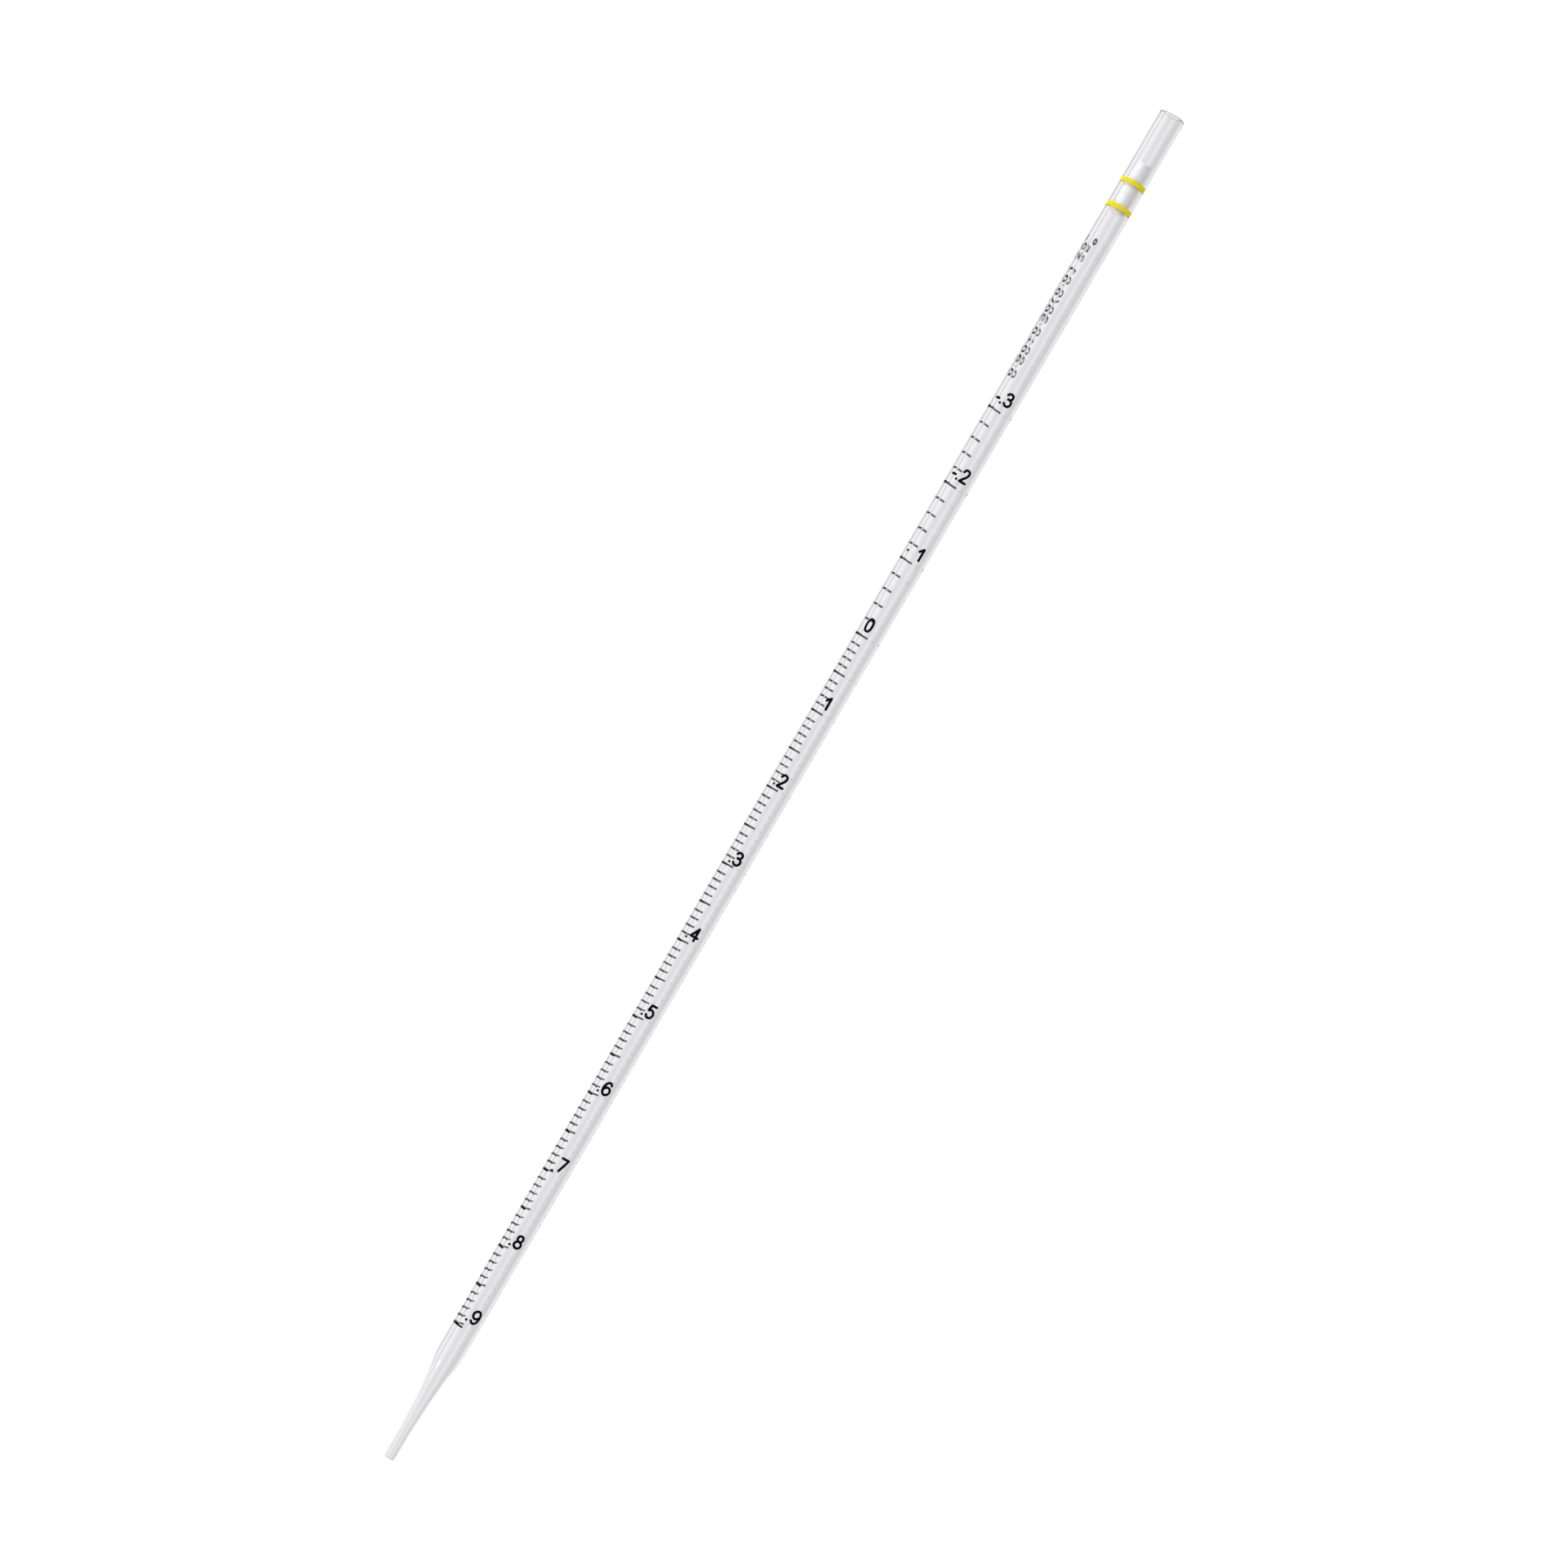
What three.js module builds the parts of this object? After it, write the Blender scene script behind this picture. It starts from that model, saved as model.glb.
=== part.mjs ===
// A graduated pipette: a 1 ml clear plastic serological pipette, in millimetres.
//
// The tube hangs along Z with its mouth end up. The origin is the centre of the mouth's rim,
// and the tip is straight below it. The scale is read from -Y: seen from there +X is to the
// right. A place along the tube is given by its height above the tip, as the scale is.

import * as THREE from 'three';

// Tube
const LENGTH = 275;
const TUBE_OUTER_RADIUS = 2.4;
const BORE_RADIUS = 1.425;
const SHOULDER_HEIGHT = 21.8; // above the tip, where the tube starts to be drawn down
const ROUND_SEGMENTS = 48;
const TIP_STEPS = 12;

// The drawn tip's radii: [height above the tip, radius]
const TIP_OUTER_POINTS = [[0, 0.96], [5.5, 1.0], [10, 1.2], [13.8, 1.44], [17.8, 1.86], [20, 2.22]];
const TIP_BORE_POINTS = [[0, 0.6], [5.5, 0.66], [10, 0.82], [13.8, 1.0], [17.8, 1.21], [20, 1.35]];

// Filter plug, pressed into the mouth's bore
const PLUG_DEPTH = 9.9; // from the rim to the plug
const PLUG_LENGTH = 10;
const PLUG_RADIUS = 1.4;
const PLUG_EDGE = 0.12;

// Printed ink. It lies on the tube with a hair of clearance.
const INK_CLEARANCE = 0.01;
const INK_THICKNESS = 0.03;

// Colour bands: [name, depth of the band's middle below the rim]
const BANDS = [['upper_colour_band', 14.0], ['lower_colour_band', 18.95]];
const BAND_WIDTH = 0.8;

// Scale. Marks are arcs on the tube's left side, and angles are in degrees, turned from the
// reader's side (-Y) towards +X.
const ZERO_HEIGHT = 167.95;
const TENTH_HEIGHT = 15.68; // 0.1 ml of bore below zero
const OVERFLOW_TENTH_HEIGHT = 15.5; // 0.1 ml above zero, where the negative scale runs
const LOWEST_TENTH = 9;
const HIGHEST_TENTH = -3;
const MARK_WIDTH = 0.34;
const ARC_STEP = 7.5;
const NUMBERED_ARC = { front: -30, back: -160 };
const HALF_ARC = { front: -32, back: -157 };
const LOWEST_MARK_FRONT = -10; // the lowest mark reaches further round to the reader
const PRINT_SLANT = -0.15; // degrees that the print creeps round for each mm up from there

const INK_INNER_RADIUS = TUBE_OUTER_RADIUS + INK_CLEARANCE;
const INK_OUTER_RADIUS = INK_INNER_RADIUS + INK_THICKNESS;

const clearPlastic = new THREE.MeshStandardMaterial({
  color: 0xe9ebf2,
  roughness: 0.06,
  metalness: 0,
  transparent: true,
  opacity: 0.35,
});
const plugFibre = new THREE.MeshStandardMaterial({ color: 0xf4f4f2, roughness: 0.95, metalness: 0 });
const bandInk = new THREE.MeshStandardMaterial({ color: 0xe8de19, roughness: 0.5, metalness: 0 });
const scaleInk = new THREE.MeshStandardMaterial({ color: 0x141414, roughness: 0.55, metalness: 0 });

const part = new THREE.Group();

function addMesh(name, geometry, material) {
  const mesh = new THREE.Mesh(geometry, material);
  mesh.name = name;
  part.add(mesh);
  return mesh;
}

// Turns a [radius, z] outline, anticlockwise with the radius to the right, round Z.
function turned(outline) {
  const points = outline.map(([radius, z]) => new THREE.Vector2(radius, z));
  const geometry = new THREE.LatheGeometry(points, ROUND_SEGMENTS);
  geometry.rotateX(Math.PI / 2);
  return geometry;
}

// A ring: an outline that closes on itself, clear of the axis.
function turnedRing(outline) {
  return turned([...outline, outline[0]]);
}

// A smooth line of [radius, z] points from the tip's end up to the shoulder.
function tipLine(points, tubeRadius) {
  const ends = [...points, [SHOULDER_HEIGHT, tubeRadius]];
  const curve = new THREE.SplineCurve(ends.map(([height, radius]) => new THREE.Vector2(radius, height)));
  return curve.getPoints(TIP_STEPS).map((point) => [point.x, point.y - LENGTH]);
}

function addTube() {
  const outer = tipLine(TIP_OUTER_POINTS, TUBE_OUTER_RADIUS);
  const bore = tipLine(TIP_BORE_POINTS, BORE_RADIUS).reverse();
  const rim = [[TUBE_OUTER_RADIUS, 0], [BORE_RADIUS, 0]];
  addMesh('graduated_tube', turnedRing([...outer, ...rim, ...bore]), clearPlastic);
}

function addPlug() {
  const top = -PLUG_DEPTH;
  const bottom = top - PLUG_LENGTH;
  const outline = [
    [0, bottom],
    [PLUG_RADIUS - PLUG_EDGE, bottom],
    [PLUG_RADIUS, bottom + PLUG_EDGE],
    [PLUG_RADIUS, top - PLUG_EDGE],
    [PLUG_RADIUS - PLUG_EDGE, top],
    [0, top],
  ];
  addMesh('filter_plug', turned(outline), plugFibre);
}

function addBands() {
  for (const [name, depth] of BANDS) {
    const low = -depth - BAND_WIDTH / 2;
    const high = -depth + BAND_WIDTH / 2;
    const outline = [
      [INK_INNER_RADIUS, low],
      [INK_OUTER_RADIUS, low],
      [INK_OUTER_RADIUS, high],
      [INK_INNER_RADIUS, high],
    ];
    addMesh(name, turnedRing(outline), bandInk);
  }
}

// An arc of ink round the tube at a height above the tip, between two angles.
function markGeometry(height, front, back) {
  const start = THREE.MathUtils.degToRad(back - 90);
  const end = THREE.MathUtils.degToRad(front - 90);
  const arcSteps = Math.ceil((front - back) / ARC_STEP);
  const shape = new THREE.Shape();
  shape.absarc(0, 0, INK_OUTER_RADIUS, start, end, false);
  shape.absarc(0, 0, INK_INNER_RADIUS, end, start, true);
  const curveSegments = Math.ceil(arcSteps / 2); // an arc gets twice as many
  const options = { depth: MARK_WIDTH, bevelEnabled: false, curveSegments };
  const geometry = new THREE.ExtrudeGeometry(shape, options);
  geometry.translate(0, 0, height - LENGTH - MARK_WIDTH / 2);
  return geometry;
}

// The height above the tip of a mark, for a reading in tenths of a millilitre.
function markHeight(tenths) {
  const step = tenths > 0 ? TENTH_HEIGHT : OVERFLOW_TENTH_HEIGHT;
  return ZERO_HEIGHT - tenths * step;
}

function addMark(name, tenths, arc) {
  const height = markHeight(tenths);
  const turn = PRINT_SLANT * (height - markHeight(LOWEST_TENTH));
  const front = tenths === LOWEST_TENTH ? LOWEST_MARK_FRONT : arc.front + turn;
  addMesh(name, markGeometry(height, front, arc.back + turn), scaleInk);
}

function addScale() {
  for (let tenths = LOWEST_TENTH; tenths >= HIGHEST_TENTH; tenths -= 1) {
    const sign = tenths < 0 ? 'minus_' : '';
    addMark(`numbered_mark_${sign}0_${Math.abs(tenths)}_ml`, tenths, NUMBERED_ARC);
  }
  for (let tenths = LOWEST_TENTH; tenths > 0; tenths -= 1) {
    addMark(`half_mark_0_${tenths - 1}5_ml`, tenths - 0.5, HALF_ARC);
  }
}

addTube();
addPlug();
addBands();
addScale();

export default part;
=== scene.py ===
"""The looks of a graduated pipette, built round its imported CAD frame, in metres.

The tube hangs along Z with its mouth up, and the scale is read from -Y with +X to the right.
Angles round the tube are in degrees, 0 at the reader's side and positive towards +X. Ink is
drawn on the unrolled tube: a point is (distance round, height), and `on_tube` wraps it on.
"""

import math
import random

import bmesh
import bpy
import numpy as np
from mathutils import Matrix, Vector


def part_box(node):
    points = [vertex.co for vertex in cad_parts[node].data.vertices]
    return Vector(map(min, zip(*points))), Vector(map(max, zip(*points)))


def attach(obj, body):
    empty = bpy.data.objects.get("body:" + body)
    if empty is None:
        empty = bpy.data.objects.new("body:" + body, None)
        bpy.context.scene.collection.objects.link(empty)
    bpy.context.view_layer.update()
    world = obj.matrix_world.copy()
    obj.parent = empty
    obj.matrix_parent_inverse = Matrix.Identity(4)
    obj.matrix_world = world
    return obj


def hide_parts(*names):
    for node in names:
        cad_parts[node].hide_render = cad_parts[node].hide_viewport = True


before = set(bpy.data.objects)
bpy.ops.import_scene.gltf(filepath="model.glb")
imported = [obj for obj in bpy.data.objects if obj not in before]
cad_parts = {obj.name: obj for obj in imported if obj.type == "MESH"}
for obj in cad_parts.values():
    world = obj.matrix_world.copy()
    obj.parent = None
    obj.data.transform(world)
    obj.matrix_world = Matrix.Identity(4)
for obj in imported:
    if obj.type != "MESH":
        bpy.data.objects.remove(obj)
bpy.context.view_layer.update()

MM = 0.001
ROOT = "root"
SEGMENTS = 160

# Tube
EDGE_ROUND = 0.025 * MM  # at the cut ends
EDGE_SUPPORT = 0.06 * MM  # from an edge's rounding to the next ring, which keeps the wall flat
TIP_RINGS = 64
FIRST_TIP_RING = 0.3 * MM  # above the tip's end
WALL_START = 0.5 * MM  # the straight wall's first ring, above the shoulder
WALL_END = 0.4 * MM  # and its last, below the rim
CUT_UNEVENNESS = 0.03 * MM
TIP_CUT_SHARE = 0.6  # the tip's unevenness, as a share of the mouth's
CUT_ZONE = 0.2 * MM  # how near an end a ring is moved with its cut
FLAT_NORMAL = 0.9  # a face that points up or down by more than this is a cut

# Ink
INK_SINK = 0.005 * MM  # how far the ink reaches into the tube's surface
INK_RISE = 0.024 * MM
BAND_GAP = 0.002 * MM  # air under a band, so that it can't be seen from inside the wall
INK_EDGE_SHARE = 0.4  # the ink's height at a line's edge, as a share of its height in the middle
STROKE_STEP = 0.07 * MM
STROKE_DRIFT = 0.05  # how far a line's width wanders, as a share of it
DRIFT_TURN = 9.0  # the angle that its wave runs through from end to end
STROKE_ACROSS = (-1.0, -0.82, -0.4, 0.0, 0.4, 0.82, 1.0)  # its points from side to side
CAP_ANGLES = (84, 66, 45, 22)  # of the rows in a line's round end, in degrees
MARK_STEP = 0.11 * MM
MARK_POINTS = 40
MARK_SPREAD = (0.92, 1.08)  # the marks' widths, one against another
BAND_WANDER = 0.02 * MM
BAND_ACROSS = (-1.0, -0.96, -0.8, -0.4, 0.0, 0.4, 0.8, 0.96, 1.0)
SHARP_EDGE = 40  # degrees
NUMERAL_HEIGHT = 2.33 * MM  # between the centres of the top and bottom strokes
NUMERAL_HALF_STROKE = 0.24 * MM
DOT_LIFT = {".": 0.08 * MM, ",": -0.45 * MM}  # from the digit's base
DOT_LENGTH = 0.02 * MM
DOT_TO_DIGIT = 0.69 * MM
LONE_DIGIT_ASIDE = 0.23 * MM  # for a label of one digit
DASHES = {"-": [0.0, 0.67 * MM], "~": [-0.2 * MM, 0.1 * MM]}  # from the label's left edge, and length
DASH_TO_DOT = 1.17 * MM  # between their left edges
DASH_LIFT = 0.77 * MM
LOW_MARK_BOLDNESS = 0.9  # at the tip, where 1 is the CAD mark's width
BOLDNESS_RISE = 1.1  # how much it grows for each metre up
SHORT_ARC_FRONT = -26.5  # a short mark's ends, from those of the numbered marks either side
SHORT_ARC_SLANT = -0.03 / MM  # how its front end changes with height
SHORT_ARC_BACK = 21.0
LABEL_START = 15.3  # the lowest label's left edge, from the front end of its mark
LABEL_SLANT = -0.037 / MM  # how that changes with height

# Each numbered mark: [its CAD node, its label, the label's lift above it in mm]. In a label a comma
# is a point that has run down into the mark, a space is one that hasn't printed, and a tilde is a
# dash that has only half printed.
LABELS = [
    ["numbered_mark_0_9_ml", ".9", 1.5],
    ["numbered_mark_0_8_ml", ".8", 1.15],
    ["numbered_mark_0_7_ml", ",7", 1.05],
    ["numbered_mark_0_6_ml", ".6", 1.05],
    ["numbered_mark_0_5_ml", ".5", 0.95],
    ["numbered_mark_0_4_ml", ".4", 1.05],
    ["numbered_mark_0_3_ml", ".3", 0.65],
    ["numbered_mark_0_2_ml", ".2", 0.8],
    ["numbered_mark_0_1_ml", " 1", 1.05],
    ["numbered_mark_0_0_ml", "0", 0.95],
    ["numbered_mark_minus_0_1_ml", "~ 1", 0.8],
    ["numbered_mark_minus_0_2_ml", "-.2", 1.1],
    ["numbered_mark_minus_0_3_ml", "-.3", 1.1],
]
SHORT_MARK_STEP = 1.51 * MM  # from a long mark up through the four short ones that follow it
OVERFLOW_MARK_STEP = 3.09 * MM
SHORT_MARKS_IN_A_BLOCK = 4

# A line of plain figures, the size of the two scales and their step, up the tube's back
FIGURES = "0.90+0.30/0.01 25o"
FIGURES_DEPTH = 54.0 * MM  # from the rim to its first figure
FIGURES_LENGTH = 28.6 * MM
FIGURES_BASELINE = -90.0
FIGURES_HEIGHT = 2.1 * MM
FIGURES_HALF_STROKE = 0.235 * MM
FIGURES_STRETCH = 1.05  # their width, against that of the scale's numerals

# Fibre plug
PLUG_RINGS = 90
PLUG_CAP_RINGS = 10
PLUG_LUMPS = 9  # rings of lumps along the plug
PLUG_LUMP = 0.012 * MM  # their mean depth
PLUG_END_EDGE = 0.03 * MM  # how far the end's edge draws in
THREADS = 420
THREAD_RADIUS = 0.011 * MM
THREAD_END_SHARE = 0.35  # a thread's radius at its ends, as a share of it
THREAD_SIDES = 5
THREAD_STEP = 0.12 * MM
THREAD_STEPS = (10, 22)
THREAD_CURL = 0.25  # radians that a thread keeps turning by at each step, at most
THREAD_STRAY = 0.3  # radians, at random, at each step
THREAD_DEPTH = (0.004, 0.02)  # below the plug's radius, in mm
END_THREADS = 70  # just under the plug's upper face
END_THREAD_POINTS = 9
END_THREAD_SPREAD = 0.65  # of their starts, as a share of the plug's radius
END_THREAD_RUN = 0.5 * MM  # across, from start to end, at most
END_THREAD_DEPTH = 0.1 * MM
END_THREAD_ARCH = (0.0, 0.025)  # how far the middle rises above the ends, in mm
END_THREAD_SWAY = 0.06 * MM
END_THREAD_TURN = 6.0  # radians of sway from start to end
END_THREAD_PHASE = 4.0 / MM  # radians of sway for each metre of its start along X
ASKEW = Vector((0.3, 0.5, 0.8))  # a direction that no thread follows

# Camera: its distance from the tube, and how far the tube leans in its picture
CAMERA_DISTANCE = 0.7206
CAMERA_LENS = 93.45
CAMERA_SENSOR = 36.0
CAMERA_CLIP = (0.01, 20.0)
CAMERA_ASIDE = 0.19 * MM
CAMERA_ABOVE_MIDDLE = 0.78 * MM
LEAN = 30.284  # degrees

# The light all round the tube: [degrees from +Y towards +X, brightness]
SURROUND = [
    [-180, 0.70], [-165, 0.82], [-135, 0.87], [-110, 0.86], [-85, 0.84], [-65, 0.60],
    [-50, 0.82], [-36, 1.0], [-20, 0.98], [-10, 0.88], [-5, 0.77], [1, 0.74], [7, 0.92],
    [13, 0.74], [20, 0.72], [60, 0.65], [90, 0.50], [125, 0.42], [150, 0.66], [180, 0.70],
]
SURROUND_PEAK = max(brightness for _, brightness in SURROUND)
# Soft lights: [name, degrees from +Y towards +X, elevation, distance, size, power in watts]
SOFTBOXES = [
    ["overhead_softbox", -135, 77, 1.27, 0.9, 4.0],
    ["high_key_softbox", -125, 36, 1.1, 0.7, 3.1],
    ["low_key_softbox", -125, -46, 0.75, 0.36, 1.2],
    ["front_fill_softbox", 165, 42, 1.1, 0.6, 1.1],
]
BACKDROP_BRIGHTNESS = 1.02
FLOOR_DROP = 0.55  # below the tip
FLOOR_RADIUS = 1.5
FLOOR_GLOW = 0.35
FLOOR_SIDES = 96

# Materials
PLASTIC_IOR = 1.59
INK_IOR = 1.5
INK_SPREAD = (1.0, 0.9, 0.2)  # how far red, green and blue light spread in it, one against another


# ---------------------------------------------------------------- measures from the CAD frame


def turned_rows(node):
    """[(height, smallest radius, largest radius)] of a turned CAD node, lowest first."""
    rows = {}
    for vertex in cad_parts[node].data.vertices:
        x, y, z = vertex.co
        rows.setdefault(round(z, 4), []).append((z, math.hypot(x, y)))
    return [
        (row[0][0], min(r for _, r in row), max(r for _, r in row))
        for _, row in sorted(rows.items())
    ]


def arc_of(node):
    """(height, front angle, back angle) of a mark's CAD node. The back lies beyond -90."""
    low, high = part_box(node)
    angles = []
    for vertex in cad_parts[node].data.vertices:
        angle = math.degrees(math.atan2(vertex.co.x, -vertex.co.y))
        angles.append(angle - 360 if angle > 90 else angle)
    return (low.z + high.z) / 2, max(angles), min(angles)


def numbered_arcs():
    """(height, front, back) for each numbered mark, lowest first.

    The lowest mark really reaches further forward. Here it has the front end that the slant
    of the rest of the scale would give it.
    """
    arcs = [arc_of(node) for node, _, _ in LABELS]
    height, _, back = arcs[0]
    arcs[0] = (height, 2 * arcs[1][1] - arcs[2][1], back)
    return arcs


ROWS = turned_rows("graduated_tube")
TUBE_RADIUS = ROWS[-1][2]
BORE_RADIUS = ROWS[-1][1]
TIP_Z = ROWS[0][0]
MOUTH_Z = ROWS[-1][0]
TUBE_MIDDLE = Vector((0, 0, (TIP_Z + MOUTH_Z) / 2))


# ---------------------------------------------------------------- mesh helpers


def new_piece(name, verts, faces, material, smooth_angle=None):
    """A mesh object with its faces turned outwards."""
    mesh = bpy.data.meshes.new(name)
    mesh.from_pydata([tuple(map(float, v)) for v in verts], [], faces)
    bm = bmesh.new()
    bm.from_mesh(mesh)
    bmesh.ops.remove_doubles(bm, verts=bm.verts, dist=1e-9)
    bmesh.ops.recalc_face_normals(bm, faces=bm.faces)
    bm.to_mesh(mesh)
    bm.free()
    mesh.polygons.foreach_set("use_smooth", [True] * len(mesh.polygons))
    if smooth_angle is not None:
        mesh.set_sharp_from_angle(angle=math.radians(smooth_angle))
    mesh.materials.append(material)
    piece = bpy.data.objects.new(name, mesh)
    bpy.context.scene.collection.objects.link(piece)
    return piece


def settle(piece, slot, *nodes):
    """Gives a piece its body and hides the CAD nodes it stands for. slot is not used."""
    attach(piece, ROOT)
    if nodes:
        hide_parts(*nodes)


def smooth_curve(xs, ys, x):
    """A cubic through (xs, ys) with finite-difference slopes, at x."""
    xs, ys, x = np.array(xs), np.array(ys), np.array(x)
    slopes = np.gradient(ys, xs)
    i = np.clip(np.searchsorted(xs, x) - 1, 0, len(xs) - 2)
    span = xs[i + 1] - xs[i]
    t = (x - xs[i]) / span
    start = (2 * t**3 - 3 * t**2 + 1) * ys[i] + (t**3 - 2 * t**2 + t) * span * slopes[i]
    return start + (3 * t**2 - 2 * t**3) * ys[i + 1] + (t**3 - t**2) * span * slopes[i + 1]


def arc_points(centre_r, centre_z, radius, start, end, steps=4):
    """Points of a rounded edge in an outline, from angle start to end in degrees."""
    angles = np.radians(np.linspace(start, end, steps + 1))
    return [(centre_r + radius * math.cos(a), centre_z + radius * math.sin(a)) for a in angles]


def spin(outline, closed, shift):
    """(verts, faces) of an outline of (radius, z) turned round Z. shift moves each point."""
    verts = []
    faces = []
    count = len(outline)
    for k in range(SEGMENTS):
        angle = 2 * math.pi * k / SEGMENTS
        for point in outline:
            radius, z = shift(*point, angle)
            verts.append((radius * math.sin(angle), -radius * math.cos(angle), z))
    for k in range(SEGMENTS):
        here, there = k * count, (k + 1) % SEGMENTS * count
        for i in range(count if closed else count - 1):
            j = (i + 1) % count
            faces.append((here + i, there + i, there + j, here + j))
    return verts, faces


def wave(rng, turns, size):
    """A smooth function of an angle round the tube: a few sines of random phase."""
    parts = [(n, rng.uniform(0, 2 * math.pi), rng.uniform(0.5, 1.0)) for n in turns]
    total = sum(weight for _, _, weight in parts)
    return lambda a: size * sum(w * math.sin(n * a + p) for n, p, w in parts) / total


# ---------------------------------------------------------------- materials


def new_material(name):
    """A node material with a Principled surface. Returns it, its node tree and the surface."""
    material = bpy.data.materials.new(name)
    material.use_nodes = True
    tree = material.node_tree
    tree.nodes.clear()
    output = tree.nodes.new("ShaderNodeOutputMaterial")
    surface = tree.nodes.new("ShaderNodeBsdfPrincipled")
    tree.links.new(surface.outputs["BSDF"], output.inputs["Surface"])
    return material, tree, surface


def noise(tree, stretch, scale, detail=3.0):
    """A noise texture on the object's own coordinates, stretched along each axis."""
    place = tree.nodes.new("ShaderNodeTexCoord")
    mapping = tree.nodes.new("ShaderNodeMapping")
    mapping.inputs["Scale"].default_value = stretch
    texture = tree.nodes.new("ShaderNodeTexNoise")
    texture.inputs["Scale"].default_value = scale
    texture.inputs["Detail"].default_value = detail
    tree.links.new(place.outputs["Object"], mapping.inputs["Vector"])
    tree.links.new(mapping.outputs["Vector"], texture.inputs["Vector"])
    return texture


def ramp(tree, source, low, high, start=0.3, end=0.7):
    """Maps a 0 to 1 value to a colour or a grey between low and high."""
    node = tree.nodes.new("ShaderNodeValToRGB")
    for stop, position, tone in zip(node.color_ramp.elements, (start, end), (low, high)):
        colour = tone if isinstance(tone, tuple) else (tone, tone, tone)
        stop.position = position
        stop.color = (*colour, 1)
    tree.links.new(source, node.inputs["Fac"])
    return node.outputs["Color"]


def bump(tree, surface, height, distance, strength=1.0):
    """Relief on a surface, where distance is how high a height of 1 stands, in metres."""
    node = tree.nodes.new("ShaderNodeBump")
    node.inputs["Strength"].default_value = strength
    node.inputs["Distance"].default_value = distance
    tree.links.new(height, node.inputs["Height"])
    tree.links.new(node.outputs["Normal"], surface.inputs["Normal"])


def cut_plastic(name, clearness, dark, light, rough, smooth):
    """Polystyrene where a blade has cut it: a little torn, so not as clear as the wall. At the tip its
    dark tones are painted shade along the end.
    """
    material, tree, surface = new_material(name)
    surface.inputs["IOR"].default_value = PLASTIC_IOR
    surface.inputs["Transmission Weight"].default_value = clearness
    torn = noise(tree, (1.0, 1.0, 0.3), 4000.0, 5.0)
    tree.links.new(ramp(tree, torn.outputs["Fac"], dark, light), surface.inputs["Base Color"])
    tree.links.new(ramp(tree, torn.outputs["Fac"], rough, smooth), surface.inputs["Roughness"])
    bump(tree, surface, torn.outputs["Fac"], 0.02 * MM)
    return material


def clear_plastic():
    """Clear drawn polystyrene: faint lines along the draw and slight haze."""
    material, tree, surface = new_material("clear_polystyrene")
    surface.inputs["IOR"].default_value = PLASTIC_IOR
    surface.inputs["Transmission Weight"].default_value = 1.0
    draw_lines = noise(tree, (1.0, 1.0, 0.006), 1500.0, 2.0)
    haze = noise(tree, (1.0, 1.0, 0.2), 900.0, 4.0)
    tint = ramp(tree, haze.outputs["Fac"], (0.972, 0.972, 0.99), (0.986, 0.986, 0.998))
    rough = ramp(tree, haze.outputs["Fac"], 0.0, 0.01)
    tree.links.new(tint, surface.inputs["Base Color"])
    tree.links.new(rough, surface.inputs["Roughness"])
    bump(tree, surface, draw_lines.outputs["Fac"], 0.012 * MM)
    return material


def printed_ink(name, dark, light, roughness, gloss, spread=0.0):
    """Screen-printed ink: a slightly mottled film. Light spreads through it as far as spread."""
    material, tree, surface = new_material(name)
    surface.inputs["Specular IOR Level"].default_value = gloss
    surface.inputs["IOR"].default_value = INK_IOR
    if spread:
        surface.inputs["Subsurface Weight"].default_value = 1.0
        surface.inputs["Subsurface Radius"].default_value = INK_SPREAD
        surface.inputs["Subsurface Scale"].default_value = spread
    mottle = noise(tree, (1.0, 1.0, 1.0), 5200.0, 5.0)
    grain = noise(tree, (1.0, 1.0, 1.0), 22000.0, 2.0)
    tree.links.new(ramp(tree, mottle.outputs["Fac"], dark, light), surface.inputs["Base Color"])
    skin = ramp(tree, mottle.outputs["Fac"], roughness - 0.08, roughness + 0.12)
    tree.links.new(skin, surface.inputs["Roughness"])
    bump(tree, surface, grain.outputs["Fac"], 0.004 * MM)
    return material


def plug_fibre():
    """Packed white fibre: matte, with a soft sheen and a fine matted relief."""
    material, tree, surface = new_material("packed_fibre")
    surface.inputs["Specular IOR Level"].default_value = 0.2
    matted = noise(tree, (1.0, 1.0, 0.55), 6500.0, 8.0)
    clumps = noise(tree, (1.0, 1.0, 0.8), 1500.0, 3.0)
    tone = ramp(tree, clumps.outputs["Fac"], (0.82, 0.82, 0.82), (0.88, 0.88, 0.875))
    tree.links.new(tone, surface.inputs["Base Color"])
    rough = ramp(tree, matted.outputs["Fac"], 0.82, 0.98)
    tree.links.new(rough, surface.inputs["Roughness"])
    bump(tree, surface, matted.outputs["Fac"], 0.02 * MM, 0.5)
    return material


PLASTIC = clear_plastic()
# The tip's cut face: less clear where cut, and its dark tones of 0.2 to 0.6 are painted shade, a dark
# line along the tip's end
TIP_CUT_WITH_PAINTED_SHADE = cut_plastic("cut_polystyrene_tip_painted_shade", 0.8, 0.2, 0.6, 0.6, 0.3)
MOUTH_CUT = cut_plastic("cut_polystyrene_mouth", 0.5, 0.92, 1.0, 0.25, 0.1)
BLACK_INK = printed_ink("black_ink", (0.001, 0.001, 0.001), (0.003, 0.003, 0.003), 0.5, 0.03)
YELLOW_INK = printed_ink("yellow_ink", (0.66, 0.56, 0.002), (0.71, 0.605, 0.006), 0.6, 0.1, 0.08 * MM)
FIBRE = plug_fibre()


# ---------------------------------------------------------------- the tube


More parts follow.
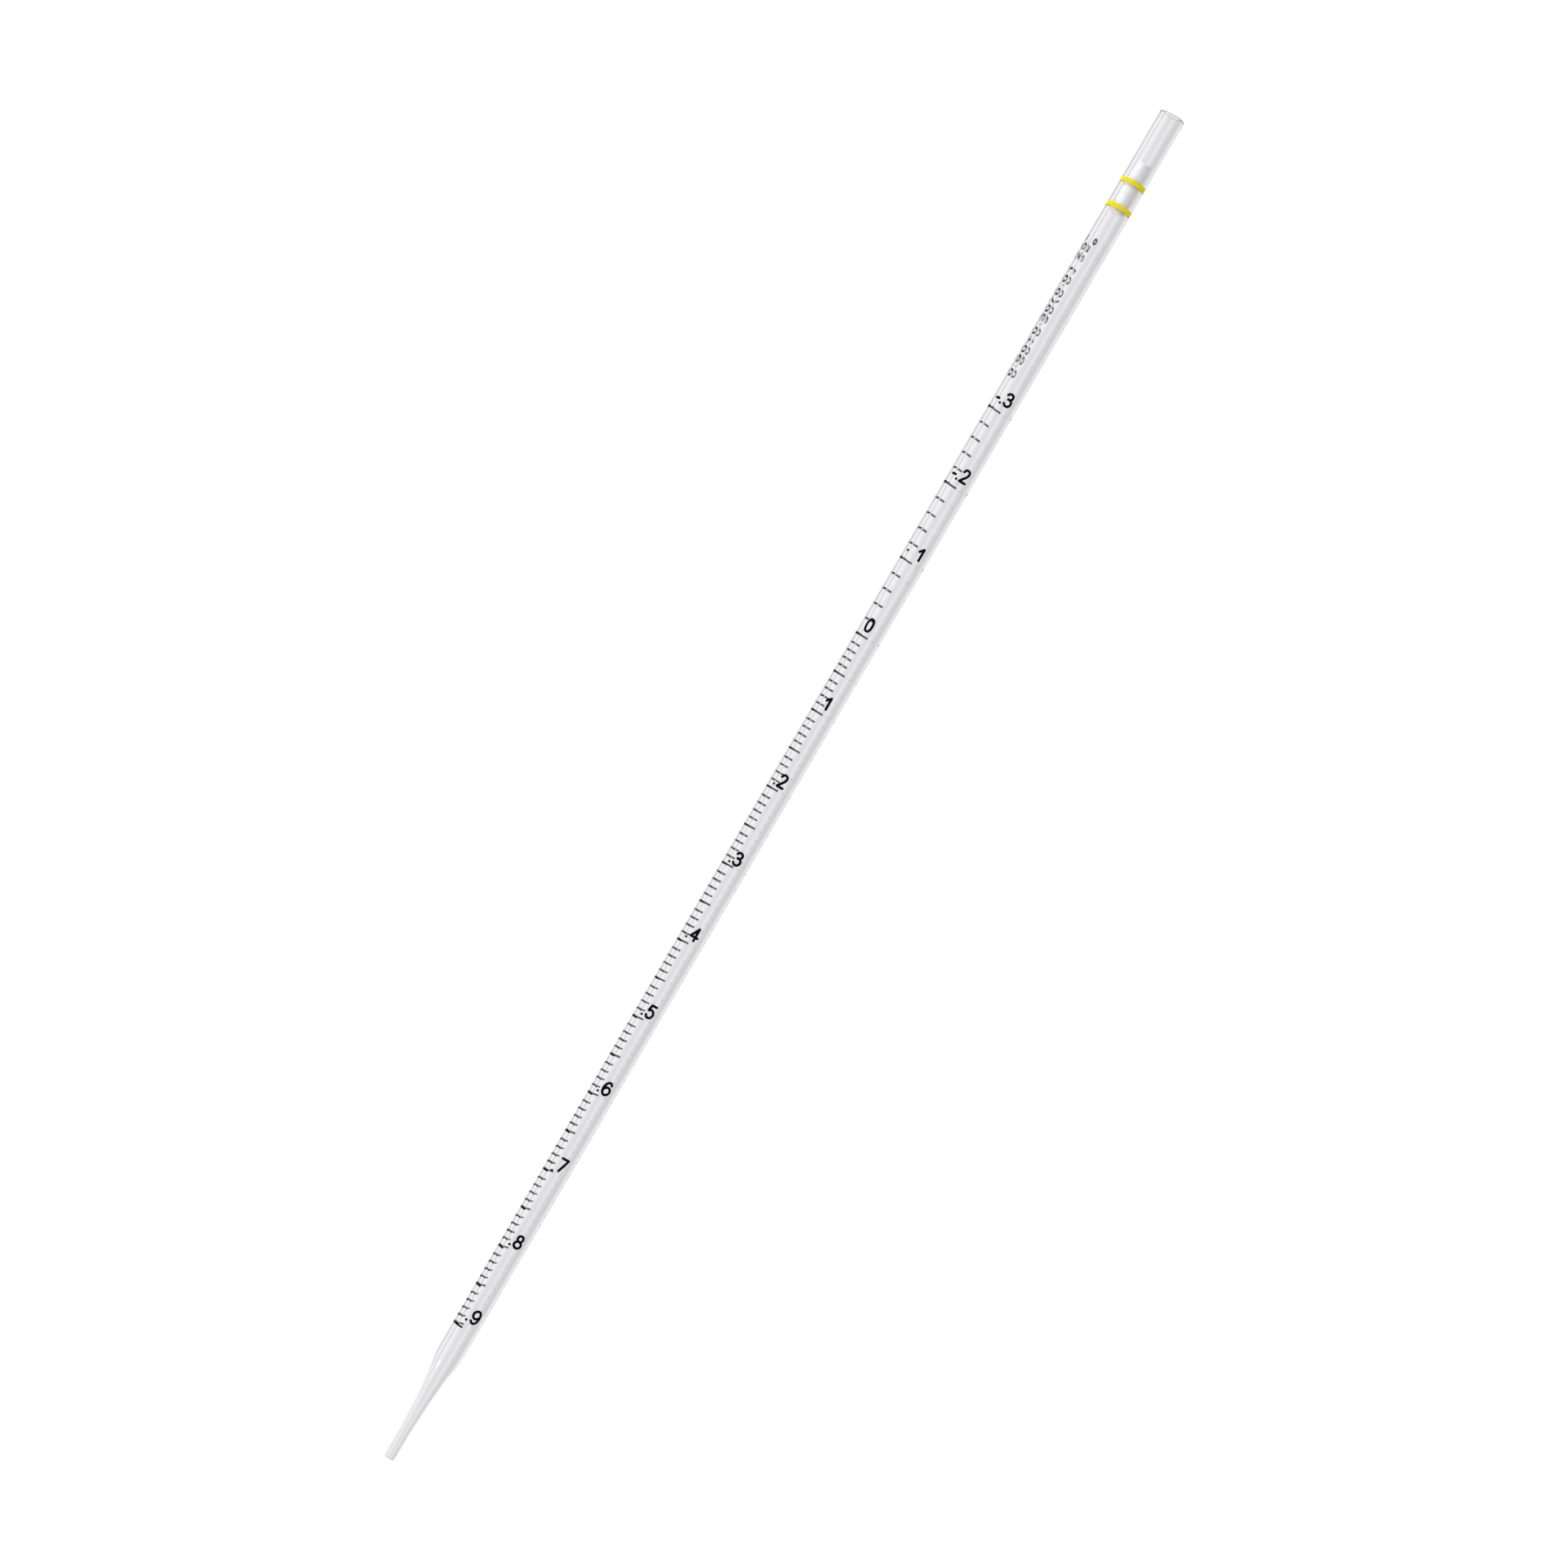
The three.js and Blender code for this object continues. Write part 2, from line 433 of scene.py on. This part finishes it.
def tube_outline():
    """The tube's closed outline: up the outside, over the rim, down the bore."""
    shoulder = max(z for z, bore, outer in ROWS if outer < TUBE_RADIUS - 1e-7)
    shoulder_top = min(z for z, bore, outer in ROWS if z > shoulder + 1e-6)
    heights = [z for z, _, _ in ROWS if z < shoulder_top + 1e-6]
    bores = [bore for z, bore, _ in ROWS if z < shoulder_top + 1e-6]
    outers = [outer for z, _, outer in ROWS if z < shoulder_top + 1e-6]
    rings = np.linspace(TIP_Z + FIRST_TIP_RING, shoulder_top, TIP_RINGS)
    tip_outer, tip_bore = outers[0], bores[0]
    edge = EDGE_ROUND
    inset = edge + EDGE_SUPPORT
    wall_ends = (shoulder_top + WALL_START, MOUTH_Z - WALL_END, MOUTH_Z - inset)
    outline = arc_points(tip_outer - edge, TIP_Z + edge, edge, -90, 0)
    outline += list(zip(smooth_curve(heights, outers, rings), rings))
    outline += [(TUBE_RADIUS, z) for z in wall_ends]
    outline += arc_points(TUBE_RADIUS - edge, MOUTH_Z - edge, edge, 0, 90)
    outline += [(TUBE_RADIUS - inset, MOUTH_Z), (BORE_RADIUS + inset, MOUTH_Z)]
    outline += arc_points(BORE_RADIUS + edge, MOUTH_Z - edge, edge, 90, 180)
    outline += [(BORE_RADIUS, z) for z in reversed(wall_ends)]
    outline += list(zip(smooth_curve(heights, bores, rings), rings))[::-1]
    outline += arc_points(tip_bore + edge, TIP_Z + edge, edge, 180, 270)
    outline += [(tip_bore + inset, TIP_Z), (tip_outer - inset, TIP_Z)]
    return outline


def build_tube():
    rng = random.Random(11)
    mouth_cut = wave(rng, (1, 2, 3, 7, 13), CUT_UNEVENNESS)
    tip_unevenness = CUT_UNEVENNESS * TIP_CUT_SHARE
    tip_cut = wave(rng, (1, 2, 5), tip_unevenness)

    def shift(radius, z, angle):
        if z > MOUTH_Z - CUT_ZONE:
            z -= CUT_UNEVENNESS + mouth_cut(angle)
        elif z < TIP_Z + CUT_ZONE:
            z += tip_unevenness + tip_cut(angle)
        return radius, z

    verts, faces = spin(tube_outline(), closed=True, shift=shift)
    tube = new_piece("clear_tube", verts, faces, PLASTIC)
    tube.data.materials.append(TIP_CUT_WITH_PAINTED_SHADE)
    tube.data.materials.append(MOUTH_CUT)
    for face in tube.data.polygons:
        # faces that point down are the tip's cut, which carries the painted shade
        if face.normal.z < -FLAT_NORMAL:
            face.material_index = 1
        elif face.normal.z > FLAT_NORMAL:
            face.material_index = 2
    settle(tube, "clear_plastic", "graduated_tube")


# ---------------------------------------------------------------- the fibre plug


def build_plug():
    """The plug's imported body, lumpy all over and at both ends."""
    low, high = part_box("filter_plug")
    radius = high.x
    cap = [radius * i / PLUG_CAP_RINGS for i in range(PLUG_CAP_RINGS)]
    outline = [(r, low.z) for r in cap]
    outline += [(radius, z) for z in np.linspace(low.z, high.z, PLUG_RINGS)]
    outline += [(r, high.z) for r in reversed(cap)]
    rng = random.Random(23)
    lumps = [wave(rng, (2, 3, 5, 9, 14), 1.0) for _ in range(PLUG_LUMPS)]

    def shift(r, z, angle):
        along = (z - low.z) / (high.z - low.z) * (len(lumps) - 1)
        i = min(int(along), len(lumps) - 2)
        lump = lumps[i](angle) * (1 - along + i) + lumps[i + 1](angle) * (along - i)
        share = r / radius
        r -= share * PLUG_LUMP * (1 + lump)
        ragged = PLUG_LUMP * (1 + lump) + PLUG_END_EDGE * share**8
        if z < low.z + 1e-6:
            z += ragged
        elif z > high.z - 1e-6:
            z -= ragged
        return r, z

    verts, faces = spin(outline, closed=False, shift=shift)
    body = new_piece("fibre_plug_body", verts, faces, FIBRE)
    settle(body, "plug_fibre", "filter_plug")


def thread_path(rng, low, high, radius):
    """A curly thread that wanders over the plug's side."""
    angle = rng.uniform(0, 2 * math.pi)
    z = rng.uniform(low, high)
    heading = rng.uniform(0, 2 * math.pi)
    turn = rng.uniform(-THREAD_CURL, THREAD_CURL)
    points = []
    for _ in range(rng.randint(*THREAD_STEPS)):
        lift = radius - rng.uniform(*THREAD_DEPTH) * MM
        points.append((lift * math.sin(angle), -lift * math.cos(angle), z))
        heading += turn + rng.uniform(-THREAD_STRAY, THREAD_STRAY)
        angle += THREAD_STEP * math.cos(heading) / radius
        z += THREAD_STEP * math.sin(heading)
        z = min(max(z, low), high)
    return points


def end_thread_path(rng, end, radius):
    """A thread that arches under the plug's upper end."""
    x, y = (rng.uniform(-END_THREAD_SPREAD, END_THREAD_SPREAD) * radius for _ in range(2))
    dx, dy = (rng.uniform(-END_THREAD_RUN, END_THREAD_RUN) for _ in range(2))
    arch = rng.uniform(*END_THREAD_ARCH) * MM
    phase = x * END_THREAD_PHASE
    points = []
    for t in np.linspace(0, 1, END_THREAD_POINTS):
        rise = arch * math.sin(math.pi * t) - END_THREAD_DEPTH
        sway = END_THREAD_SWAY * math.sin(END_THREAD_TURN * t + phase)
        points.append((x + dx * t + sway, y + dy * t - sway, end + rise))
    return points


def tube_along(points, radius):
    """(verts, faces) of a closed thin tube along points, with narrower ends."""
    path = [Vector(p) for p in points]
    sides = THREAD_SIDES
    verts = []
    faces = []
    for i, p in enumerate(path):
        ahead = (path[min(i + 1, len(path) - 1)] - path[max(i - 1, 0)]).normalized()
        side = ahead.cross(ASKEW).normalized()
        up = ahead.cross(side)
        width = radius * (THREAD_END_SHARE if i in (0, len(path) - 1) else 1.0)
        for k in range(sides):
            a = 2 * math.pi * k / sides
            verts.append(p + width * (side * math.cos(a) + up * math.sin(a)))
    for i in range(len(path) - 1):
        for k in range(sides):
            here, there = i * sides, (i + 1) * sides
            j = (k + 1) % sides
            faces.append((here + k, here + j, there + j, there + k))
    last = (len(path) - 1) * sides
    faces.append(tuple(range(sides)))
    faces.append(tuple(last + k for k in reversed(range(sides))))
    return verts, faces


def joined(parts):
    """One (verts, faces) from many."""
    verts = []
    faces = []
    for part_verts, part_faces in parts:
        start = len(verts)
        verts.extend(part_verts)
        faces.extend(tuple(start + i for i in face) for face in part_faces)
    return verts, faces


def build_threads():
    """Loose threads that cover the plug's side, and some under its upper end."""
    low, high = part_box("filter_plug")
    radius = high.x
    rng = random.Random(37)
    paths = [thread_path(rng, low.z, high.z, radius) for _ in range(THREADS)]
    paths += [end_thread_path(rng, high.z, radius) for _ in range(END_THREADS)]
    verts, faces = joined([tube_along(path, THREAD_RADIUS) for path in paths])
    threads = new_piece("fibre_plug_threads", verts, faces, FIBRE)
    settle(threads, "plug_fibre")


# ---------------------------------------------------------------- ink on the tube


def on_tube(aside, height, radius):
    """A point of the unrolled tube, wrapped on at a radius."""
    angle = aside / TUBE_RADIUS
    return radius * math.sin(angle), -radius * math.cos(angle), height


def around(angle):
    """The distance round the tube to an angle in degrees."""
    return math.radians(angle) * TUBE_RADIUS


def resampled(points, step):
    """Points of a line at even steps, with the unit direction at each."""
    points = np.array(points, float)
    lengths = np.hypot(*np.diff(points, axis=0).T)
    far = np.concatenate([[0], np.cumsum(lengths)])
    count = max(3, int(far[-1] / step) + 2)
    at = np.linspace(0, far[-1], count)
    line = np.column_stack([np.interp(at, far, points[:, i]) for i in (0, 1)])
    ahead = np.gradient(line, axis=0)
    return line, ahead / np.hypot(*ahead.T)[:, None]


def stroke_rows(points, half, rng, step):
    """[(centre, direction, half width)] along a line of ink, with rows that round its ends."""
    line, ahead = resampled(points, step)
    drift = wave(rng, (1, 2, 4, 7), STROKE_DRIFT)
    widths = [half * (1 + drift(DRIFT_TURN * i / len(line))) for i in range(len(line))]
    cap = [(math.sin(a) * half, math.cos(a) * half) for a in np.radians(CAP_ANGLES)]
    first, last = (line[0], ahead[0]), (line[-1], ahead[-1])
    rows = [(first[0] - first[1] * out, first[1], width) for out, width in cap]
    rows += zip(line, ahead, widths)
    rows += [(last[0] + last[1] * out, last[1], width) for out, width in reversed(cap)]
    return rows


def stroke(points, half, rng, step=STROKE_STEP):
    """(verts, faces) of one line of ink with round ends and a domed top."""
    rows = stroke_rows(points, half, rng, step)
    verts = []
    for centre, direction, width in rows:
        left = np.array((-direction[1], direction[0]))
        spots = [centre + left * share * width for share in STROKE_ACROSS]
        for share, spot in zip(STROKE_ACROSS, spots):
            rise = INK_RISE * (1 - (1 - INK_EDGE_SHARE) * share**4)
            verts.append(on_tube(*spot, TUBE_RADIUS + rise))
        verts += [on_tube(*spot, TUBE_RADIUS - INK_SINK) for spot in spots]
    return verts, stroke_faces(len(rows))


def stroke_faces(row_count):
    """The faces of a stroke, whose rows each hold their top points and then their bottom ones."""
    count = len(STROKE_ACROSS)
    faces = []
    for i in range(row_count - 1):
        here, there = i * 2 * count, (i + 1) * 2 * count
        for j in range(count - 1):
            k = count + j
            faces.append((here + j, there + j, there + j + 1, here + j + 1))
            faces.append((here + k, here + k + 1, there + k + 1, there + k))
        for j in (0, count - 1):
            faces.append((here + j, here + count + j, there + count + j, there + j))
    for end in (0, (row_count - 1) * 2 * count):
        for j in range(end, end + count - 1):
            faces.append((j, j + 1, count + j + 1, count + j))
    return faces


def mark_stroke(height, front, back, half, rng):
    """A mark of the scale: an arc of ink round the tube."""
    boldness = LOW_MARK_BOLDNESS + BOLDNESS_RISE * (height - TIP_Z)
    ends = [around(back) + half, around(front) - half]
    points = [(s, height) for s in np.linspace(*ends, MARK_POINTS)]
    return stroke(points, half * boldness * rng.uniform(*MARK_SPREAD), rng, step=MARK_STEP)


def build_marks():
    """The numbered and half marks, each in place of its CAD node."""
    for node in sorted(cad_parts):
        if "_mark_" not in node:
            continue
        height, front, back = arc_of(node)
        low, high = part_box(node)
        rng = random.Random(node)
        verts, faces = mark_stroke(height, front, back, (high.z - low.z) / 2, rng)
        mark = new_piece("ink_" + node, verts, faces, BLACK_INK, smooth_angle=SHARP_EDGE)
        settle(mark, "scale_ink", node)


def short_marks(foot, step, arc_at, rng):
    """The block of short marks above a long one at height foot."""
    low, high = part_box(LABELS[0][0])
    half = (high.z - low.z) / 2
    strokes = []
    for i in range(SHORT_MARKS_IN_A_BLOCK):
        height = foot + (i + 1) * step
        strokes.append(mark_stroke(height, *arc_at(height), half, rng))
    return strokes


def build_short_marks():
    """All the short marks, one piece for each of the two scales."""
    arcs = numbered_arcs()
    heights, fronts, backs = zip(*arcs)

    def arc_at(height):
        front = np.interp(height, heights, fronts) + SHORT_ARC_FRONT
        front += SHORT_ARC_SLANT * (height - heights[0])
        return front, np.interp(height, heights, backs) + SHORT_ARC_BACK

    zero = heights[[label for _, label, _ in LABELS].index("0")]
    halves = [arc_of(node)[0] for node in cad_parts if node.startswith("half_mark")]
    feet_below = sorted([height for height in heights if height < zero] + halves)
    feet_above = [height for height in heights if zero <= height < heights[-1]]
    rng = random.Random(53)
    for name, feet, step in (
        ("short_marks_below_zero", feet_below, SHORT_MARK_STEP),
        ("short_marks_above_zero", feet_above, OVERFLOW_MARK_STEP),
    ):
        strokes = [s for foot in feet for s in short_marks(foot, step, arc_at, rng)]
        verts, faces = joined(strokes)
        settle(new_piece(name, verts, faces, BLACK_INK, smooth_angle=SHARP_EDGE), "scale_ink")


# ---------------------------------------------------------------- figures


def curve_through(points, steps=7):
    """A smooth line through points (Catmull-Rom)."""
    pts = [np.array(p, float) for p in points]
    pts = [2 * pts[0] - pts[1]] + pts + [2 * pts[-1] - pts[-2]]
    line = []
    for a, b, c, d in zip(pts, pts[1:], pts[2:], pts[3:]):
        for i in range(steps):
            t = i / steps
            bend = (2 * a - 5 * b + 4 * c - d) * t**2 + (3 * b - a - 3 * c + d) * t**3
            line.append(0.5 * (2 * b + (c - a) * t + bend))
    line.append(pts[-2])
    return line


def oval(cx, cy, rx, ry, steps=36):
    """A closed ellipse, anticlockwise from the right."""
    angles = np.radians(np.linspace(0, 360, steps))
    return [(cx + rx * math.cos(a), cy + ry * math.sin(a)) for a in angles]


def tall_oval(width):
    """A narrow oval with nearly straight sides, one unit high."""
    r = width / 2

    def blunt(v, power):
        return math.copysign(abs(v) ** power, v)

    angles = np.radians(np.linspace(0, 362, 60))  # a little past its start, so that it closes
    return [(r + r * blunt(math.cos(a), 0.72), 0.5 + 0.5 * blunt(math.sin(a), 0.92)) for a in angles]


# Each glyph: [width, its strokes], in units of the figure's height
GLYPHS = {
    "0": [0.49, [tall_oval(0.49)]],
    "1": [0.35, [[(0.35, 0.0), (0.35, 0.93)], [(0.35, 0.93), (0.08, 0.64)]]],
    "2": [0.5, [
        curve_through([
            (0.02, 0.78), (0.1, 0.95), (0.27, 1.0), (0.44, 0.9), (0.46, 0.7), (0.34, 0.46), (0.0, 0.02),
        ]),
        [(0.0, 0.0), (0.5, 0.0)],
    ]],
    "3": [0.5, [
        curve_through([
            (0.0, 0.84), (0.1, 0.97), (0.27, 1.0), (0.43, 0.9), (0.44, 0.7), (0.33, 0.57), (0.17, 0.55),
        ]),
        curve_through([
            (0.17, 0.55), (0.36, 0.53), (0.5, 0.4), (0.5, 0.18), (0.36, 0.02), (0.16, 0.0), (0.0, 0.14),
        ]),
    ]],
    "4": [0.56, [
        [(0.38, 0.0), (0.38, 1.0)],
        [(0.38, 1.0), (0.0, 0.29)],
        [(0.0, 0.29), (0.56, 0.29)],
    ]],
    "5": [0.52, [
        [(0.13, 1.0), (0.5, 1.0)],
        [(0.13, 1.0), (0.05, 0.56)],
        curve_through([
            (0.05, 0.56), (0.22, 0.65), (0.42, 0.58), (0.52, 0.36), (0.46, 0.12), (0.28, 0.0),
            (0.1, 0.05), (0.02, 0.18),
        ]),
    ]],
    "6": [0.58, [
        curve_through([
            (0.5, 0.84), (0.4, 0.98), (0.24, 0.98), (0.08, 0.8), (0.0, 0.5), (0.04, 0.18), (0.2, 0.0),
            (0.4, 0.02), (0.56, 0.2), (0.56, 0.42), (0.42, 0.58), (0.2, 0.56), (0.03, 0.36),
        ]),
    ]],
    "7": [0.52, [[(0.0, 1.0), (0.52, 1.0)], [(0.52, 1.0), (0.18, 0.0)]]],
    "8": [0.55, [oval(0.275, 0.765, 0.215, 0.235), oval(0.275, 0.265, 0.275, 0.265)]],
    "9": [0.6, [
        curve_through([
            (0.06, 0.14), (0.18, 0.01), (0.36, 0.01), (0.52, 0.18), (0.6, 0.5), (0.54, 0.84), (0.38, 1.0),
            (0.18, 0.98), (0.03, 0.78), (0.04, 0.55), (0.18, 0.4), (0.4, 0.42), (0.57, 0.6),
        ]),
    ]],
    "+": [0.5, [[(0.0, 0.45), (0.5, 0.45)], [(0.25, 0.2), (0.25, 0.7)]]],
    "/": [0.35, [[(0.0, -0.05), (0.35, 1.05)]]],
    "o": [0.42, [oval(0.21, 1.28, 0.2, 0.2)]],
    ".": [0.0, [[(0.0, 0.04), (0.01, 0.04)]]],
    " ": [0.2, []],
}


def label_strokes(text, start, base, rng):
    """A label's strokes, read across the tube, from its left edge and its base."""
    strokes = []
    at = start
    if text[0] in DASHES:
        aside, length = DASHES[text[0]]
        dash = [(at + aside, base + DASH_LIFT), (at + aside + length, base + DASH_LIFT)]
        strokes.append(stroke(dash, NUMERAL_HALF_STROKE, rng))
        at += DASH_TO_DOT
        text = text[1:]
    if text[0] in DOT_LIFT:
        lift = DOT_LIFT[text[0]]
        dot = [(at, base + lift), (at + DOT_LENGTH, base + lift)]
        strokes.append(stroke(dot, NUMERAL_HALF_STROKE, rng))
    at += DOT_TO_DIGIT if len(text) > 1 else LONE_DIGIT_ASIDE
    for line in GLYPHS[text[-1]][1]:
        points = [(at + x * NUMERAL_HEIGHT, base + y * NUMERAL_HEIGHT) for x, y in line]
        strokes.append(stroke(points, NUMERAL_HALF_STROKE, rng))
    return strokes


def build_numerals():
    """One numeral piece for each numbered mark, just above it and to its right."""
    arcs = numbered_arcs()
    lowest = arcs[0][0]
    for (node, text, lift), (height, front, _) in zip(LABELS, arcs):
        rng = random.Random("numeral" + node)
        base = height + lift * MM
        start = front + LABEL_START + LABEL_SLANT * (height - lowest)
        verts, faces = joined(label_strokes(text, around(start), base, rng))
        name = node.replace("numbered_mark", "numeral").replace("_ml", "")
        settle(new_piece(name, verts, faces, BLACK_INK, smooth_angle=SHARP_EDGE), "scale_ink")


def build_figures():
    """The line of plain figures up the tube's back. It is read turned a quarter to the left."""
    rng = random.Random(71)
    widths = [GLYPHS[figure][0] * FIGURES_STRETCH for figure in FIGURES]
    gap = (FIGURES_LENGTH / FIGURES_HEIGHT - sum(widths)) / (len(FIGURES) - 1)
    base = around(FIGURES_BASELINE)
    broad = FIGURES_STRETCH * FIGURES_HEIGHT
    strokes = []
    up = MOUTH_Z - FIGURES_DEPTH
    for figure, width in zip(FIGURES, widths):
        for line in GLYPHS[figure][1]:
            points = [(base - y * FIGURES_HEIGHT, up + x * broad) for x, y in line]
            strokes.append(stroke(points, FIGURES_HALF_STROKE, rng))
        up += (width + gap) * FIGURES_HEIGHT
    verts, faces = joined(strokes)
    settle(new_piece("plain_figures", verts, faces, BLACK_INK, smooth_angle=SHARP_EDGE), "scale_ink")


def build_band(node):
    """A colour band: a full ring of ink with slightly wavering edges."""
    low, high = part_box(node)
    middle = (low.z + high.z) / 2
    half = (high.z - low.z) / 2
    rng = random.Random(node)
    wander = wave(rng, (1, 2, 3), BAND_WANDER)
    outline = []
    for share in BAND_ACROSS:
        rise = INK_RISE * (1 - (1 - INK_EDGE_SHARE) * share**8)
        outline.append((TUBE_RADIUS + rise, middle + half * share))
    outline += [(TUBE_RADIUS + BAND_GAP, middle + half), (TUBE_RADIUS + BAND_GAP, middle - half)]
    verts, faces = spin(outline, closed=True, shift=lambda r, z, a: (r, z + wander(a)))
    band = new_piece("ink_" + node, verts, faces, YELLOW_INK, smooth_angle=SHARP_EDGE)
    settle(band, "band_ink", node)


# ---------------------------------------------------------------- stage


def build_floor():
    """A pale floor. The clear tube shows the surrounding light and not the floor."""
    material, tree, surface = new_material("pale_floor")
    grain = noise(tree, (1.0, 1.0, 1.0), 60.0)
    tree.links.new(ramp(tree, grain.outputs["Fac"], 0.9, 0.93), surface.inputs["Base Color"])
    surface.inputs["Roughness"].default_value = 0.9
    surface.inputs["Emission Color"].default_value = (1, 1, 1, 1)
    surface.inputs["Emission Strength"].default_value = FLOOR_GLOW
    z = TIP_Z - FLOOR_DROP
    verts = [(0, 0, z)]
    for k in range(FLOOR_SIDES):
        a = 2 * math.pi * k / FLOOR_SIDES
        verts.append((FLOOR_RADIUS * math.cos(a), FLOOR_RADIUS * math.sin(a), z))
    faces = [(0, 1 + k, 1 + (k + 1) % FLOOR_SIDES) for k in range(FLOOR_SIDES)]
    floor = new_piece("floor", verts, faces, material)
    floor.visible_transmission = False
    floor.visible_glossy = False


def surround_colour(tree):
    """The grey of SURROUND, as a share of its peak, in the direction of each ray."""
    link = tree.links.new
    place = tree.nodes.new("ShaderNodeTexCoord")
    axes = tree.nodes.new("ShaderNodeSeparateXYZ")
    turn = tree.nodes.new("ShaderNodeMath")
    turn.operation = "ARCTAN2"
    share = tree.nodes.new("ShaderNodeMapRange")
    share.inputs["From Min"].default_value = -math.pi
    share.inputs["From Max"].default_value = math.pi
    tones = tree.nodes.new("ShaderNodeValToRGB")
    tones.color_ramp.interpolation = "B_SPLINE"
    stops = tones.color_ramp.elements
    stops.remove(stops[-1])
    for i, (angle, value) in enumerate(SURROUND):
        at = (angle + 180) / 360
        stop = stops[0] if i == 0 else stops.new(at)
        stop.position = at
        tone = value / SURROUND_PEAK
        stop.color = (tone, tone, tone, 1)
    link(place.outputs["Generated"], axes.inputs["Vector"])
    link(axes.outputs["X"], turn.inputs[0])
    link(axes.outputs["Y"], turn.inputs[1])
    link(turn.outputs["Value"], share.inputs["Value"])
    link(share.outputs["Result"], tones.inputs["Fac"])
    return tones.outputs["Color"]


def build_world():
    """Soft light all round, on a white backdrop."""
    world = bpy.data.worlds.new("studio")
    bpy.context.scene.world = world
    world.use_nodes = True
    tree = world.node_tree
    tree.nodes.clear()
    link = tree.links.new
    soft = tree.nodes.new("ShaderNodeBackground")
    soft.inputs["Strength"].default_value = SURROUND_PEAK
    link(surround_colour(tree), soft.inputs["Color"])
    backdrop = tree.nodes.new("ShaderNodeBackground")
    backdrop.inputs["Color"].default_value = (1, 1, 1, 1)
    backdrop.inputs["Strength"].default_value = BACKDROP_BRIGHTNESS
    seen = tree.nodes.new("ShaderNodeLightPath")
    mix = tree.nodes.new("ShaderNodeMixShader")
    output = tree.nodes.new("ShaderNodeOutputWorld")
    link(seen.outputs["Is Camera Ray"], mix.inputs["Fac"])
    link(soft.outputs["Background"], mix.inputs[1])
    link(backdrop.outputs["Background"], mix.inputs[2])
    link(mix.outputs["Shader"], output.inputs["Surface"])


def build_lights():
    """Round soft lights aimed at the tube. The camera can't see them."""
    for name, azimuth, elevation, distance, size, power in SOFTBOXES:
        light = bpy.data.lights.new(name, "AREA")
        light.shape = "DISK"
        light.size = size
        light.energy = power
        turn = math.radians(azimuth)
        rise = math.radians(elevation)
        flat = math.cos(rise)
        away = Vector((math.sin(turn) * flat, math.cos(turn) * flat, math.sin(rise)))
        lamp = bpy.data.objects.new(name, light)
        lamp.location = TUBE_MIDDLE + distance * away
        lamp.rotation_euler = (-away).to_track_quat("-Z", "Y").to_euler()
        lamp.visible_camera = False
        bpy.context.scene.collection.objects.link(lamp)


def build_camera():
    """Square on to the tube, rolled so that its mouth leans to the right."""
    camera = bpy.data.objects.new("camera", bpy.data.cameras.new("camera"))
    camera.data.lens = CAMERA_LENS
    camera.data.sensor_width = CAMERA_SENSOR
    camera.data.clip_start, camera.data.clip_end = CAMERA_CLIP
    lean = math.radians(LEAN)
    right = Vector((math.cos(lean), 0, math.sin(lean)))
    up = Vector((-math.sin(lean), 0, math.cos(lean)))
    back = Vector((0, -1, 0))
    middle = TUBE_MIDDLE + Vector((CAMERA_ASIDE, 0, CAMERA_ABOVE_MIDDLE))
    place = Matrix((right, up, back)).transposed().to_4x4()
    camera.matrix_world = Matrix.Translation(middle + back * CAMERA_DISTANCE) @ place
    bpy.context.scene.collection.objects.link(camera)
    bpy.context.scene.camera = camera


def set_view():
    """Plain tones, and light that stays sharp through the clear wall on its way to the plug."""
    scene = bpy.context.scene
    scene.view_settings.view_transform = "Standard"
    scene.view_settings.look = "None"
    scene.cycles.blur_glossy = 0.0


build_camera()
build_world()
build_lights()
build_floor()
build_tube()
build_plug()
build_threads()
build_marks()
build_short_marks()
build_numerals()
build_figures()
build_band("upper_colour_band")
build_band("lower_colour_band")
set_view()
